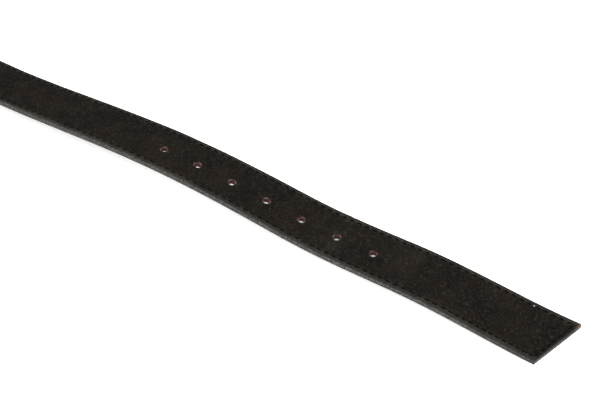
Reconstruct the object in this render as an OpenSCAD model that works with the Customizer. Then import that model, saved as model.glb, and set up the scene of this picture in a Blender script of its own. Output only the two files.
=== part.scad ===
// Men's suede leather belt, unfastened, standing on its edge at the buckle end and
// turning over to lie flat at the punched tail. Millimetres, +Z up.
// The Z axis is the buckle's heel bar, and z = 0 is the table that the belt rests on.

/* [Strap] */
// Width of the strap
strap_width = 38; // [30:1:40]
// Length from the heel bar to the long corner of the tip
strap_length = 1102; // [1090:1:1140]
// Thickness of the suede face
face_thick = 1.6; // [1.2:0.1:2]
// Thickness of the filler between face and lining
core_thick = 0.8; // [0.6:0.1:1]
// Thickness of the leather lining
lining_thick = 1.4; // [1:0.1:1.6]
// How much shorter the near edge is than the far edge at the slanted tip
tip_slant = 13; // [0:1:18]

/* [Punched holes] */
// Number of holes
hole_count = 7; // [5:2:7]
// Distance from one hole to the next
hole_spacing = 25; // [20:1:26]
// Diameter of a hole
hole_diameter = 4; // [3:0.5:5]
// Distance from the tip to the hole nearest to it
first_hole = 127; // [90:1:140]
// How far the row of holes sits off the middle, toward the short edge
hole_offset = 1.5; // [0:0.1:3]

/* [How it lies] */
// Radius of the turn on edge, at mid thickness
turn_radius = 100; // [90:1:105]
// Length from the tip to where the strap stands fully on edge
tail_length = 590; // [580:1:600]
// Length from the tip to where the strap starts to turn over
flat_length = 430; // [400:1:440]
// Roll of the tail where the turn-over starts, in degrees
tail_roll = 15.5; // [0:0.5:20]

/* [Buckle] */
// Gap between the strap edge and the frame, each side
frame_gap = 1; // [0.8:0.1:1.5]
// Width of the frame's side arms and of its front bar
frame_band = 5; // [4:0.5:6]
// Thickness of the frame
frame_thick = 4; // [3.5:0.5:4.5]
// Distance from the heel bar to the far side of the front bar
frame_reach = 37; // [36:0.5:39]
// Diameter of the heel bar
bar_diameter = 4; // [3.6:0.2:4]

/* [Keepers] */
// Width of each keeper, along the strap
keeper_width = 12; // [10:1:13]
// Thickness of each of the two plies of a keeper
keeper_ply = 0.9; // [0.7:0.1:1]
// Gap over the strap that the tail passes through
keeper_gap = 5; // [4.8:0.1:5.5]

/* [Hidden] */

$fn = 64;
suede = [0.15, 0.13, 0.12];
lining_leather = [0.13, 0.11, 0.1];
red_filler = [0.38, 0.16, 0.12];
thread_black = [0.05, 0.05, 0.05];
nickel = [0.72, 0.7, 0.66];
steel = [0.6, 0.6, 0.6];
cut = 40;                 // length of a cutting tool that only has to pass right through

// Strap section
strap_thick = face_thick + core_thick + lining_thick;
half_width = strap_width / 2;
thread_inset = 3;
thread_width = 0.8;
thread_height = 0.35;
thread_lift = 0.06;       // keeps the thread just off the face
back_thread_lift = 0.23;  // more behind, where the facets of the rolled strap stand out

// Where the strap runs
arm_length = strap_length - tail_length - PI * turn_radius;
bar_radius = bar_diameter / 2;
fold_radius = bar_radius + 0.3;
arm_y = -fold_radius - strap_thick / 2;
tail_y = arm_y + 2 * turn_radius;
tip_x = tail_length - arm_length;
frame_height = strap_width + 2 * (frame_gap + frame_band);
bar_z = frame_height / 2;
edge_rise = bar_z - half_width - thread_height;
station_step = strap_length / 170;

// Waves of the tail above the table: [distance from the tip, half length, height]
tail_waves = [[95, 90, 4.8], [266, 156, 10.2]];
tip_blend = 70;           // length over which the slant of the tip dies out

// Turn-back of the strap behind the heel bar
turn_back = 74;
fold_closes = 15;         // distance from the bar at which the two strands meet
fold_parting = 0.05;      // keeps the two strands from sharing a face
core_skive = [16, 8];     // the filler thins out between these distances from the bar
keeper_room = 2.7;        // the turn-back stands off this far over the fixed keeper
slot_half = 2.6;
slot_reach = 9.5;

// Screw posts that hold the turn-back
post_at = [21, 58];       // distances from the bar
post_radius = 2.5;
post_head = [4.75, 1.6];  // radius, thickness
screw_radius = 1.5;
screw_head = [4.2, 1.3];
fold_thick = face_thick + lining_thick;
fold_back = fold_thick + fold_parting - fold_radius;

// Keepers
keeper_thick = 2 * keeper_ply;
keeper_side = 0.5;        // gap at each edge of the strap
fixed_keeper_x = -43;
sliding_keeper_x = -108;
keeper_front = arm_y - strap_thick / 2 - keeper_gap;
fixed_back = -fold_radius + thread_height + 0.1;
sliding_back = -fold_radius + 0.6;
staple_wire = 0.4;

// Buckle
frame_top = 30;           // distance from the bar to the crown of the arched frame
frame_bulge = 6.5;        // how far the crown stands out
arch_centre = (frame_top * frame_top - frame_bulge * frame_bulge) / (2 * frame_bulge);
arch_radius = arch_centre + frame_bulge;
corner_radius = 7;
window_corner = 3;
notch_depth = 0.8;
prong_width = 3.2;
prong_thick = 2.2;
prong_reach = frame_reach + 2;
eye_radius = 4.1;
eye_clear = 0.08;

function smooth(u) = let (v = min(1, max(0, u))) v * v * (3 - 2 * v);
function bump(u) = abs(u) < 1 ? pow(cos(90 * u), 2) : 0;

// The strap's centreline, by distance s from the tip
function lift(s) = tail_waves[0][2] * bump((s - tail_waves[0][0]) / tail_waves[0][1])
    + tail_waves[1][2] * bump((s - tail_waves[1][0]) / tail_waves[1][1]);
function roll(s) = tail_roll * min(s, flat_length) / flat_length
    + (90 - tail_roll) * smooth((s - flat_length) / (tail_length - flat_length));
function height(s) = half_width * sin(roll(s)) + strap_thick / 2 * cos(roll(s)) + thread_height
    + lift(s) + edge_rise * smooth((s - tail_length) / (PI * turn_radius));
function turned(s) = min(180, max(0, s - tail_length) / turn_radius * 180 / PI);
function centre(s) =
    s < tail_length ? [tip_x - s, tail_y, height(s)]
    : s < tail_length + PI * turn_radius
        ? [-arm_length - turn_radius * sin(turned(s)),
           tail_y - turn_radius + turn_radius * cos(turned(s)), height(s)]
        : [s - strap_length, arm_y, bar_z];
function pitch(s) = atan((height(s + 1) - height(s - 1)) / 2);

// Directions on the strap: along it from the tip, square across to the far edge, and out of the face
function along(s) = let (h = 180 + turned(s), p = pitch(s)) [cos(h) * cos(p), sin(h) * cos(p), sin(p)];
function level(s) = let (h = 180 + turned(s)) [sin(h), -cos(h), 0];
function upright(s) = cross(level(s), along(s));
function across(s) = level(s) * cos(roll(s)) - upright(s) * sin(roll(s));
function outward(s) = upright(s) * cos(roll(s)) + level(s) * sin(roll(s));
// A point at s, w across from the middle, k above the lining's back
function on_strap(s, w, k) = centre(s) + across(s) * w + outward(s) * (k - strap_thick / 2);

// The near edge starts later than the far edge, because of the slanted tip
function slanted(s, w) = s + tip_slant * (0.5 - w / strap_width) * max(0, 1 - s / tip_blend);
function core_at(s) = core_thick * (1 - smooth((s - strap_length + core_skive[0]) / (core_skive[0] - core_skive[1])));
function stations(from, to) =
    concat([from], [for (i = [1:floor(to / station_step)]) if (i * station_step > from + 1) i * station_step], [to]);

// A section is four points: far edge low and high, near edge high and low
function strap_section(s, k0, k1, w0, w1) = [
    on_strap(slanted(s, w1), w1, k0), on_strap(slanted(s, w1), w1, k1),
    on_strap(slanted(s, w0), w0, k1), on_strap(slanted(s, w0), w0, k0)
];

// The fold round the bar and the turn-back behind the strap
function gap_behind(x) = fold_parting + (2 * fold_radius - fold_parting) * (1 - smooth(-x / fold_closes))
    + keeper_room * smooth((-x - 25.5) / 5) * (1 - smooth((-x - 43.5) / 5));
fold_path = concat(
    [for (a = [0:15:180]) [fold_radius * sin(a), -fold_radius * cos(a), sin(a), -cos(a)]],
    [for (x = [-2:-2:-turn_back]) [x, gap_behind(x) - fold_radius, 0, 1]]
);
function fold_section(p, k0, k1) = [
    [p[0] + p[2] * k0, p[1] + p[3] * k0, bar_z - half_width],
    [p[0] + p[2] * k1, p[1] + p[3] * k1, bar_z - half_width],
    [p[0] + p[2] * k1, p[1] + p[3] * k1, bar_z + half_width],
    [p[0] + p[2] * k0, p[1] + p[3] * k0, bar_z + half_width]
];

// Skins a list of four-point sections
module loft(sections) {
    n = len(sections);
    side = [for (i = [0:n - 2], j = [0:2]) each [
        [4 * i + j, 4 * i + 4 + j, 4 * i + j + 1],
        [4 * i + j + 1, 4 * i + 4 + j, 4 * i + 5 + j]]];
    under = [for (i = [0:n - 2]) each [[4 * i + 3, 4 * i + 7, 4 * i + 4], [4 * i + 3, 4 * i + 4, 4 * i]]];
    last = 4 * (n - 1);
    ends = [[0, 1, 2], [0, 2, 3], [last, last + 2, last + 1], [last, last + 3, last + 2]];
    polyhedron(points = [for (s = sections) each s], faces = concat(side, under, ends));
}

// Turns a shape made along +Z so that it stands out of the strap's face at s
module at_station(s) {
    p = centre(s);
    a = along(s);
    c = across(s);
    n = outward(s);
    multmatrix([[a[0], c[0], n[0], p[0]], [a[1], c[1], n[1], p[1]], [a[2], c[2], n[2], p[2]]]) children();
}

module along_x(x, length) {
    translate([x, 0, 0]) rotate([90, 0, 90]) linear_extrude(length) children();
}

module along_y(y, length) {
    translate([0, y + length, 0]) rotate([90, 0, 0]) linear_extrude(length) children();
}

module rounded(x0, x1, y0, y1, r) {
    translate([x0 + r, y0]) square([x1 - x0 - 2 * r, y1 - y0]);
    translate([x0, y0 + r]) square([x1 - x0, y1 - y0 - 2 * r]);
    for (x = [x0 + r, x1 - r], y = [y0 + r, y1 - r]) translate([x, y]) circle(r);
}

module rod_y(x, z, y0, y1, r) {
    translate([x, y0, z]) rotate([-90, 0, 0]) cylinder(h = y1 - y0, r = r);
}

module punched_holes() {
    for (i = [0:hole_count - 1]) at_station(first_hole + i * hole_spacing)
        translate([0, -hole_offset, -cut / 2]) cylinder(h = cut, d = hole_diameter);
}

// The slot that the prong swings through, and the holes for the posts
module fold_openings() {
    for (x = post_at) rod_y(-x, bar_z, -cut / 2, cut / 2, post_radius);
    rod_y(-slot_reach, bar_z, -cut / 4, cut / 4, slot_half);
    translate([-slot_reach, -cut / 4, bar_z - slot_half]) cube([cut / 2, cut / 2, 2 * slot_half]);
}

module strap_layer(sections) {
    difference() {
        loft(sections);
        punched_holes();
        fold_openings();
    }
}

module strap_face() {
    color(suede) strap_layer(concat(
        [for (s = stations(0, strap_length))
            strap_section(s, lining_thick + core_at(s), fold_thick + core_at(s), -half_width, half_width)],
        [for (i = [1:len(fold_path) - 1]) fold_section(fold_path[i], lining_thick, fold_thick)]));
}

module strap_core() {
    color(red_filler) strap_layer([for (s = stations(0, strap_length)) if (s < strap_length - core_skive[1])
        strap_section(s, lining_thick, lining_thick + core_at(s), -half_width, half_width)]);
}

module strap_lining() {
    color(lining_leather) strap_layer(concat(
        [for (s = stations(0, strap_length)) strap_section(s, 0, lining_thick, -half_width, half_width)],
        [for (i = [1:len(fold_path) - 1]) fold_section(fold_path[i], 0, lining_thick)]));
}

// One run of thread down each edge and one across the tip, between heights k0 and k1
module thread(k0, k1, end) {
    edge = half_width - thread_inset;
    inset = thread_inset;
    for (w = [-edge, edge])
        loft([for (s = stations(inset, end))
            strap_section(s, k0, k1, w - thread_width / 2, w + thread_width / 2)]);
    w = edge - thread_width / 2 - 0.1;
    loft([for (i = [0:1]) let (s = inset + (i - 0.5) * thread_width) [
        on_strap(slanted(s, w), w, k0), on_strap(slanted(s, w), w, k1),
        on_strap(slanted(s, -w), -w, k1), on_strap(slanted(s, -w), -w, k0)]]);
}

module face_thread() {
    color(thread_black) thread(strap_thick + thread_lift, strap_thick + thread_height, strap_length - core_skive[0] - 2);
}

module lining_thread() {
    color(thread_black) thread(-thread_height, -back_thread_lift, strap_length - turn_back - 2);
}

// The frame is an arched band, cut to a rounded rectangle with an open heel
module arch_band(r0, r1) {
    translate([frame_top, arch_centre]) difference() {
        circle(r1, $fn = 200);
        circle(r0, $fn = 200);
    }
}

module buckle_frame() {
    ear = frame_thick / 2 + 0.5;
    color(nickel) difference() {
        union() {
            intersection() {
                linear_extrude(frame_height) arch_band(arch_radius - frame_thick / 2, arch_radius + frame_thick / 2);
                along_y(-cut / 2, cut) rounded(-corner_radius, frame_reach, 0, frame_height, corner_radius);
                translate([0, -cut / 2, 0]) cube([frame_reach, cut, frame_height]);
            }
            for (z = [0, frame_height - frame_band]) translate([0, 0, z]) cylinder(h = frame_band, r = ear);
        }
        along_y(-cut / 2, cut)
            rounded(-cut / 2, frame_reach - frame_band, frame_band, frame_height - frame_band, window_corner);
        translate([0, 0, frame_band / 3]) cylinder(h = frame_height - 2 * frame_band / 3, r = bar_radius);
        translate([frame_reach - frame_band - 1, -frame_bulge - frame_thick / 2 - cut, bar_z - prong_width / 2 - 0.2])
            cube([frame_band + 2, cut + notch_depth + 0.5, prong_width + 0.4]);
    }
}

module heel_bar() {
    color(steel) translate([0, 0, frame_band / 3]) cylinder(h = frame_height - 2 * frame_band / 3, r = bar_radius);
}

// The prong is an arched blade with an eye round the heel bar
module prong() {
    blade_y = frame_bulge + frame_thick / 2 - notch_depth + 0.05;
    rise = blade_y + prong_thick / 2;
    centre_y = (frame_top * frame_top - rise * rise) / (2 * rise);
    radius = centre_y + rise;
    color(nickel) difference() {
        union() {
            translate([0, 0, bar_z - prong_width / 2]) cylinder(h = prong_width, r = eye_radius);
            intersection() {
                translate([frame_top, centre_y, bar_z - prong_width / 2]) linear_extrude(prong_width) difference() {
                    circle(radius + prong_thick / 2, $fn = 200);
                    circle(radius - prong_thick / 2, $fn = 200);
                }
                along_y(-cut, cut) rounded(-6, prong_reach, bar_z - prong_width / 2, bar_z + prong_width / 2, 1.5);
                translate([0, -cut, 0]) cube([cut + 10, cut, frame_height]);
            }
        }
        cylinder(h = frame_height, r = bar_radius + eye_clear);
    }
}

// A keeper ply is a band bent to a rounded rectangle round the strap, with its ends butted at the back
module keeper_ply_ring(x, back, inset0, inset1) {
    low = bar_z - half_width - keeper_side;
    high = bar_z + half_width + keeper_side;
    color(inset0 > 0 ? suede : lining_leather) difference() {
        along_x(x, keeper_width) difference() {
            rounded(keeper_front - inset1, back + inset1, low - inset1, high + inset1, 1.2 + inset1);
            rounded(keeper_front - inset0, back + inset0, low - inset0, high + inset0, 1.2 + inset0);
        }
        translate([x - 1, back - 1, bar_z - 0.15]) cube([keeper_width + 2, keeper_thick + 2, 0.3]);
        for (z = [-1, 1]) rod_y(x + keeper_width / 2, bar_z + 3 * z, back - 1, back + keeper_thick + 1, staple_wire);
    }
}

module keeper_staple(x, back) {
    y = back + keeper_thick;
    color(steel) {
        for (z = [-1, 1]) rod_y(x + keeper_width / 2, bar_z + 3 * z, back + 0.1, y, staple_wire);
        translate([x + keeper_width / 2 - staple_wire, y, bar_z - 3 - staple_wire])
            cube([2 * staple_wire, staple_wire, 6 + 2 * staple_wire]);
    }
}

// A post goes in from the face and a slotted screw closes it from the back
module screw_post(x) {
    front = arm_y - strap_thick / 2;
    back = fold_back;
    color(nickel) difference() {
        union() {
            rod_y(-x, bar_z, front - post_head[1], front, post_head[0]);
            rod_y(-x, bar_z, front - 0.1, back - 0.2, post_radius);
        }
        rod_y(-x, bar_z, front + 1, back + 1, screw_radius);
    }
}

module post_screw(x) {
    front = arm_y - strap_thick / 2;
    back = fold_back;
    color(nickel) difference() {
        union() {
            rod_y(-x, bar_z, back, back + screw_head[1], screw_head[0]);
            rod_y(-x, bar_z, front + 1.6, back + 0.1, screw_radius);
        }
        translate([-x - 0.5, back + screw_head[1] - 0.6, bar_z - cut / 2]) cube([1, 1, cut]);
    }
}

strap_face();
strap_core();
strap_lining();
face_thread();
lining_thread();
buckle_frame();
heel_bar();
prong();
keeper_ply_ring(fixed_keeper_x, fixed_back, keeper_ply, keeper_thick);  // fixed_keeper_face
keeper_ply_ring(fixed_keeper_x, fixed_back, 0, keeper_ply);  // fixed_keeper_lining
keeper_staple(fixed_keeper_x, fixed_back);  // fixed_keeper_staple
keeper_ply_ring(sliding_keeper_x, sliding_back, keeper_ply, keeper_thick);  // sliding_keeper_face
keeper_ply_ring(sliding_keeper_x, sliding_back, 0, keeper_ply);  // sliding_keeper_lining
keeper_staple(sliding_keeper_x, sliding_back);  // sliding_keeper_staple
screw_post(post_at[0]);  // bar_side_post
post_screw(post_at[0]);  // bar_side_screw
screw_post(post_at[1]);  // strap_side_post
post_screw(post_at[1]);  // strap_side_screw
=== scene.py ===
"""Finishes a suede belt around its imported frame: strap, stitching, buckle, keepers and screw posts."""

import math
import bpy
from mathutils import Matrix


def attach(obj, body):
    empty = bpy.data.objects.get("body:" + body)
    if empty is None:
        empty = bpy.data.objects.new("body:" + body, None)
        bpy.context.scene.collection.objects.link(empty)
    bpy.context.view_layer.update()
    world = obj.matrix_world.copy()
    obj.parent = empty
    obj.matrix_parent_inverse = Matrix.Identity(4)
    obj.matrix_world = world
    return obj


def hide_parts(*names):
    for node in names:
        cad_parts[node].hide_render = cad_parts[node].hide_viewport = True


bl_info = {
    "name": "Suede Belt",
    "version": (1, 0, 0),
    "blender": (4, 5, 0),
    "location": "3D Viewport > Sidebar > Belt",
    "description": "Builds the belt's suede strap, stitches, buckle, keepers and screw posts, and a table to show it on",
    "category": "Object",
}

import bmesh
import bpy
import numpy as np
from bpy.props import (
    FloatProperty,
    FloatVectorProperty,
    IntProperty,
    PointerProperty,
)
from mathutils import Matrix, Vector, noise

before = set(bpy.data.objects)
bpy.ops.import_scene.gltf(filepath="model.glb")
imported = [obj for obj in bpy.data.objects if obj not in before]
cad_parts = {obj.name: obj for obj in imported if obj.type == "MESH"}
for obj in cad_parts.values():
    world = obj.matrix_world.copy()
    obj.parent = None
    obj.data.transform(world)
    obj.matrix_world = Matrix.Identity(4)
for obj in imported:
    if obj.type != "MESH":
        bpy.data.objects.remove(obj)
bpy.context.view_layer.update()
MM = 0.001


def srgb(code):
    """Turns a #rrggbb colour into the linear values that Blender works in."""
    parts = [int(code[i : i + 2], 16) / 255 for i in (1, 3, 5)]
    return tuple(c / 12.92 if c <= 0.04045 else ((c + 0.055) / 1.055) ** 2.4 for c in parts)


def rgba(colour):
    return (*colour, 1.0)


def smooth(u):
    v = np.clip(u, 0.0, 1.0)
    return v * v * (3 - 2 * v)


def ridge(u):
    """A round-topped bump that is 1 at 0 and dies out by 2.5."""
    return np.exp(-np.square(u))


# ---------------------------------------------------------------------------
# Settings
# ---------------------------------------------------------------------------


class BeltStrapSettings(bpy.types.PropertyGroup):
    """Sizes of the strap and the shape that it lies in"""

    width: FloatProperty(name="Width", description="Width of the strap", default=0.038, unit="LENGTH")
    length: FloatProperty(
        name="Length", description="From the heel bar to the long corner of the tip", default=1.102,
        unit="LENGTH",
    )
    face: FloatProperty(name="Face", description="Thickness of the suede", default=0.0016, unit="LENGTH")
    core: FloatProperty(name="Filler", description="Thickness of the filler", default=0.0008, unit="LENGTH")
    lining: FloatProperty(name="Lining", description="Thickness of the lining", default=0.0014, unit="LENGTH")
    slant: FloatProperty(
        name="Tip slant", description="How much shorter the near edge is at the tip", default=0.013,
        unit="LENGTH",
    )
    first_hole: FloatProperty(
        name="First hole", description="From the tip to the nearest hole", default=0.127, unit="LENGTH"
    )
    hole_spacing: FloatProperty(
        name="Hole spacing", description="From one hole to the next", default=0.025, unit="LENGTH"
    )
    hole_count: IntProperty(name="Holes", description="Number of punched holes", default=7)
    hole_diameter: FloatProperty(
        name="Hole diameter", description="Diameter of a punched hole", default=0.004, unit="LENGTH"
    )
    hole_offset: FloatProperty(
        name="Hole offset", description="How far the holes sit off the middle", default=0.0015,
        unit="LENGTH",
    )
    turn_radius: FloatProperty(
        name="Turn radius", description="Radius of the turn on edge", default=0.1, unit="LENGTH"
    )
    tail: FloatProperty(
        name="Tail", description="From the tip to where the strap stands on edge", default=0.59,
        unit="LENGTH",
    )
    flat: FloatProperty(
        name="Flat", description="From the tip to where the strap starts to turn over", default=0.43,
        unit="LENGTH",
    )
    roll: FloatProperty(
        name="Tail roll", description="Roll of the tail where it starts to turn over",
        default=math.radians(15.5), subtype="ANGLE",
    )
    turn_back: FloatProperty(
        name="Turn-back", description="Length of strap folded back behind the bar", default=0.074,
        unit="LENGTH",
    )
    suede: FloatVectorProperty(
        name="Suede", description="Colour of the suede's nap", default=srgb("#100E0D"), size=3,
        subtype="COLOR",
    )
    edge: FloatVectorProperty(
        name="Edge paint", description="Colour of the painted edge", default=srgb("#232220"), size=3,
        subtype="COLOR",
    )
    back: FloatVectorProperty(
        name="Lining", description="Colour of the lining leather", default=srgb("#211C19"), size=3,
        subtype="COLOR",
    )
    filler: FloatVectorProperty(
        name="Filler", description="Colour of the filler, seen in the holes", default=srgb("#562C27"),
        size=3, subtype="COLOR",
    )


class BeltStitchSettings(bpy.types.PropertyGroup):
    """Sizes of the stitching"""

    inset: FloatProperty(
        name="Inset", description="From the strap's edge to the stitch line", default=0.003, unit="LENGTH"
    )
    pitch: FloatProperty(
        name="Pitch", description="From one stitch to the next", default=0.0052, unit="LENGTH"
    )
    width: FloatProperty(name="Thread", description="Width of the thread", default=0.00105, unit="LENGTH")
    gap: FloatProperty(
        name="Gap", description="Leather left showing between two stitches", default=0.0022, unit="LENGTH"
    )
    thread: FloatVectorProperty(
        name="Thread", description="Colour of the thread", default=srgb("#050505"), size=3, subtype="COLOR"
    )


class BeltMetalSettings(bpy.types.PropertyGroup):
    """Sizes and finish of the buckle, prong and screws"""

    frame_gap: FloatProperty(
        name="Frame gap", description="Gap between the strap's edge and the frame", default=0.001,
        unit="LENGTH",
    )
    band: FloatProperty(
        name="Frame band", description="Width of the frame's arms and front bar", default=0.005,
        unit="LENGTH",
    )
    thick: FloatProperty(
        name="Frame thickness", description="Thickness of the frame", default=0.004, unit="LENGTH"
    )
    reach: FloatProperty(
        name="Frame reach", description="From the heel bar to the far side of the front bar", default=0.037,
        unit="LENGTH",
    )
    bulge: FloatProperty(
        name="Frame arch", description="How far the frame's crown stands out", default=0.0065, unit="LENGTH"
    )
    bar: FloatProperty(name="Heel bar", description="Diameter of the heel bar", default=0.004, unit="LENGTH")
    nickel: FloatVectorProperty(
        name="Nickel", description="Colour of the nickel plate", default=srgb("#A39C91"), size=3,
        subtype="COLOR",
    )
    steel: FloatVectorProperty(
        name="Steel", description="Colour of the bar and the staples", default=srgb("#A3A3A2"), size=3,
        subtype="COLOR",
    )


class BeltStageSettings(bpy.types.PropertyGroup):
    """The table, the lamps and the camera"""

    lens: FloatProperty(name="Lens", description="Focal length in millimetres", default=85.0)
    distance: FloatProperty(
        name="Distance", description="From the camera to the point it looks at", default=0.88, unit="LENGTH"
    )
    elevation: FloatProperty(
        name="Elevation", description="Camera's angle above the table", default=math.radians(50.4),
        subtype="ANGLE",
    )
    azimuth: FloatProperty(
        name="Azimuth", description="Camera's turn from the tail's own side", default=math.radians(30.7),
        subtype="ANGLE",
    )
    target: FloatVectorProperty(
        name="Target", description="Point on the table that the camera looks at",
        default=(0.2062, 0.208, 0.0), size=3, subtype="TRANSLATION", unit="LENGTH",
    )
    table: FloatVectorProperty(
        name="Table", description="Colour of the table", default=srgb("#F4F4F3"), size=3, subtype="COLOR"
    )


# ---------------------------------------------------------------------------
# The strap's path
# ---------------------------------------------------------------------------


class StrapPath:
    """Lays the strap in space. s runs from the tip, w across toward the long edge and k up from the back of
    the lining, in millimetres.
    """

    waves = ((95.0, 90.0, 4.8), (266.0, 156.0, 10.2))
    thread_room = 0.35
    keeper_room = 2.7
    fold_closes = 15.0
    skive = (16.0, 8.0)

    def __init__(self, strap, metal):
        self.width = strap.width / MM
        self.half = self.width / 2
        self.length = strap.length / MM
        self.face = strap.face / MM
        self.core = strap.core / MM
        self.lining = strap.lining / MM
        self.thick = self.face + self.core + self.lining
        self.slant = strap.slant / MM
        self.radius = strap.turn_radius / MM
        self.tail = strap.tail / MM
        self.flat = strap.flat / MM
        self.roll_at_flat = strap.roll
        self.turn_back = strap.turn_back / MM
        self.fold = metal.bar / MM / 2 + 0.3
        self.arm = self.length - self.tail - math.pi * self.radius
        self.arm_y = -self.fold - self.thick / 2
        self.tail_y = self.arm_y + 2 * self.radius
        self.tip_x = self.tail - self.arm
        self.bar_z = self.half + (metal.frame_gap + metal.band) / MM
        self.rise = self.bar_z - self.half - self.thread_room
        self.end = self.length + math.pi * self.fold + self.turn_back

    def slanted(self, s, w):
        return s + self.slant * (0.5 - w / self.width) * np.maximum(0, 1 - s / 70.0)

    def core_at(self, s):
        return self.core * (1 - smooth((s - self.length + self.skive[0]) / (self.skive[0] - self.skive[1])))

    def lift(self, s):
        total = 0.0 * s
        for middle, half, high in self.waves:
            u = np.clip((s - middle) / half, -1, 1)
            total = total + high * np.cos(math.pi / 2 * u) ** 2
        return total

    def roll(self, s):
        turned = smooth((s - self.flat) / (self.tail - self.flat))
        return self.roll_at_flat * np.minimum(s, self.flat) / self.flat + (
            math.pi / 2 - self.roll_at_flat
        ) * turned

    def height(self, s):
        r = self.roll(s)
        climb = smooth((s - self.tail) / (math.pi * self.radius))
        tilted = self.half * np.sin(r) + self.thick / 2 * np.cos(r)
        return tilted + self.thread_room + self.lift(s) + self.rise * climb

    def behind(self, x):
        """How far the turn-back stands off the strap, at x behind the bar."""
        over_keeper = smooth((-x - 25.5) / 5) * (1 - smooth((-x - 43.5) / 5))
        return 0.05 + (2 * self.fold - 0.05) * (
            1 - smooth(-x / self.fold_closes)
        ) + self.keeper_room * over_keeper

    def place(self, s, w, k):
        """Points in metres for arrays of s, w and k."""
        s, w, k = np.broadcast_arrays(*(np.asarray(a, float) for a in (s, w, k)))
        on = np.minimum(s, self.length)
        turned = np.clip((on - self.tail) / self.radius, 0, math.pi)
        h = math.pi + turned
        z = self.height(on)
        p = np.arctan((self.height(on + 1) - self.height(on - 1)) / 2)
        r = self.roll(on)
        x = np.where(
            on < self.tail, self.tip_x - on,
            np.where(turned < math.pi, -self.arm - self.radius * np.sin(turned), on - self.length),
        )
        y = np.where(turned < math.pi, self.tail_y - self.radius + self.radius * np.cos(turned), self.arm_y)
        middle = np.stack([x, y, z], -1)
        level = np.stack([np.sin(h), -np.cos(h), 0 * h], -1)
        upright = np.stack([-np.cos(h) * np.sin(p), -np.sin(h) * np.sin(p), np.cos(p)], -1)
        cos_r, sin_r = np.cos(r)[..., None], np.sin(r)[..., None]
        across = level * cos_r - upright * sin_r
        outward = upright * cos_r + level * sin_r
        flat = middle + across * w[..., None] + outward * (k - self.thick / 2)[..., None]

        d = np.maximum(s - self.length, 0)
        a = np.minimum(d / self.fold, math.pi)
        back = -np.maximum(d - math.pi * self.fold, 0)
        round_bar = d < math.pi * self.fold
        away = np.where(round_bar, -self.fold * np.cos(a), self.behind(back) - self.fold)
        out_x, out_y = np.where(round_bar, np.sin(a), 0), np.where(round_bar, -np.cos(a), 1)
        folded = np.stack(
            [
                np.where(round_bar, self.fold * np.sin(a), back) + out_x * k, away + out_y * k,
                self.bar_z - w,
            ],
            -1,
        )
        return np.where((s > self.length)[..., None], folded, flat) * MM

    def directions(self, s, w, k):
        """Unit vectors along the strap and out of its face."""
        ahead = self.place(s + 0.5, w, k) - self.place(s - 0.5, w, k)
        out = self.place(s, w, k + 0.5) - self.place(s, w, k - 0.5)
        return ahead / np.linalg.norm(
            ahead, axis=-1, keepdims=True
        ), out / np.linalg.norm(out, axis=-1, keepdims=True)


def belt_path(context):
    return StrapPath(context.scene.belt_strap, context.scene.belt_metal)


# ---------------------------------------------------------------------------
# Mesh helpers
# ---------------------------------------------------------------------------


def mesh_object(name, points, faces, materials, zones=None, attributes=None, uv=None, sharp=35.0):
    """A smooth-shaded mesh object at the origin, its faces turned outwards."""
    mesh = bpy.data.meshes.new(name)
    mesh.from_pydata([tuple(p) for p in points], [], [tuple(f) for f in faces])
    for key, values in (attributes or {}).items():
        layer = mesh.attributes.new(key, "FLOAT", "POINT")
        layer.data.foreach_set("value", np.asarray(values, np.float32))
    if uv is not None:
        layer = mesh.uv_layers.new(name="lay")
        corner = np.empty(len(mesh.loops), np.int32)
        mesh.loops.foreach_get("vertex_index", corner)
        layer.data.foreach_set("uv", np.asarray(uv, np.float32)[corner].ravel())
    for material in materials:
        mesh.materials.append(material)
    if zones is not None:
        mesh.polygons.foreach_set("material_index", np.asarray(zones, np.int32))
    shape = bmesh.new()
    shape.from_mesh(mesh)
    bmesh.ops.recalc_face_normals(shape, faces=shape.faces)
    shape.to_mesh(mesh)
    shape.free()
    mesh.shade_smooth()
    mesh.set_sharp_from_angle(angle=math.radians(sharp))
    piece = bpy.data.objects.new(name, mesh)
    bpy.context.scene.collection.objects.link(piece)
    return piece


def baked(piece):
    """Turns an object with modifiers into a plain mesh object of the same name."""
    graph = bpy.context.evaluated_depsgraph_get()
    mesh = bpy.data.meshes.new_from_object(
        piece.evaluated_get(graph), preserve_all_data_layers=True, depsgraph=graph
    )
    name, old = piece.name, piece.data
    bpy.data.objects.remove(piece)
    if old.users == 0:
        bpy.data.meshes.remove(old)
    mesh.name = name
    made = bpy.data.objects.new(name, mesh)
    bpy.context.scene.collection.objects.link(made)
    return made


def sweep(path, section, closed=False):
    """Skins a section along a path. path is a list of (origin, side, up, scale) and section a list of
    (side, up) points in millimetres.
    """
    points, faces = [], []
    n, m = len(path), len(section)
    for origin, side, up, scale in path:
        points += [
            np.asarray(origin) + np.asarray(side) * a * scale[0] + np.asarray(up) * b * scale[1]
            for a, b in section
        ]
    for i in range(n if closed else n - 1):
        for j in range(m):
            a, b = i * m, ((i + 1) % n) * m
            faces.append((a + j, a + (j + 1) % m, b + (j + 1) % m, b + j))
    if not closed:
        faces += [tuple(range(m)), tuple(range((n - 1) * m, n * m))]
    return [p * MM for p in points], faces


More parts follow.
